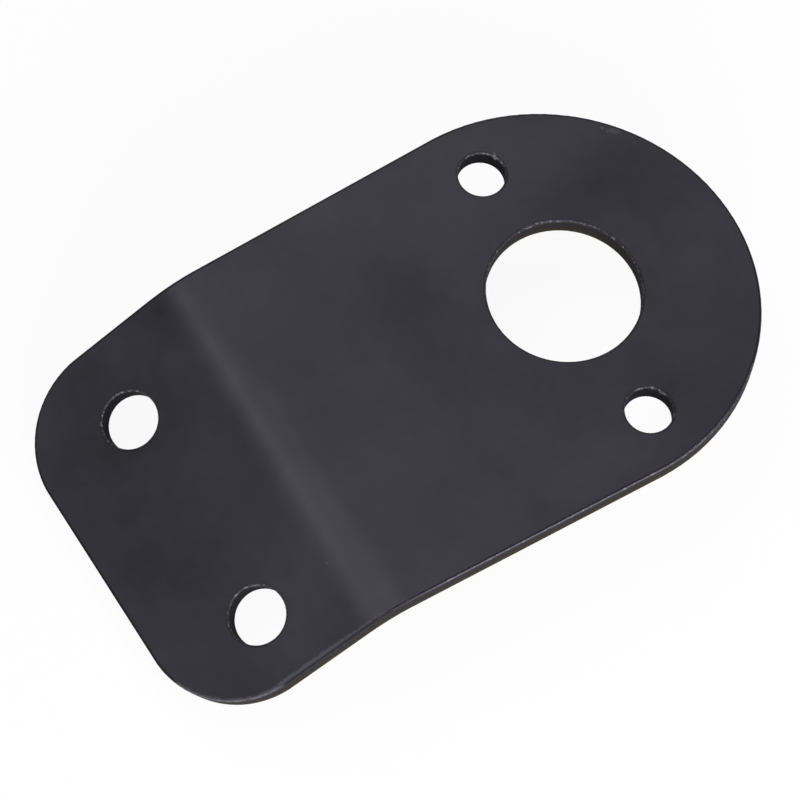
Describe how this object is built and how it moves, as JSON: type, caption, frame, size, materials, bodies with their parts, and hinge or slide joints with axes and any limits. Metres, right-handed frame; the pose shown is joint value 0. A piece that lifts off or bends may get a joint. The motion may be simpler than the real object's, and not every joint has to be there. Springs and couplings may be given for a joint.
{
  "type": "motor mounting bracket",
  "caption": "Flat steel bracket with a round motor end, a pilot hole flanked by screw holes, one shallow bend and a bolt-down flange with rounded corners.",
  "frame": {"origin": "centre of the pilot hole, halfway through the sheet", "axes": "+X along the plate to the round motor end and -X to the flange, +Y across the plate, +Z square out of the motor end's outer face, away from the side the flange turns to"},
  "size_m": [0.1021, 0.06, 0.015],
  "materials": {
    "plate": "satin black powder coat on steel"
  },
  "bodies": {
    "root": {"bracket": "plate"}
  },
  "joints": []
}
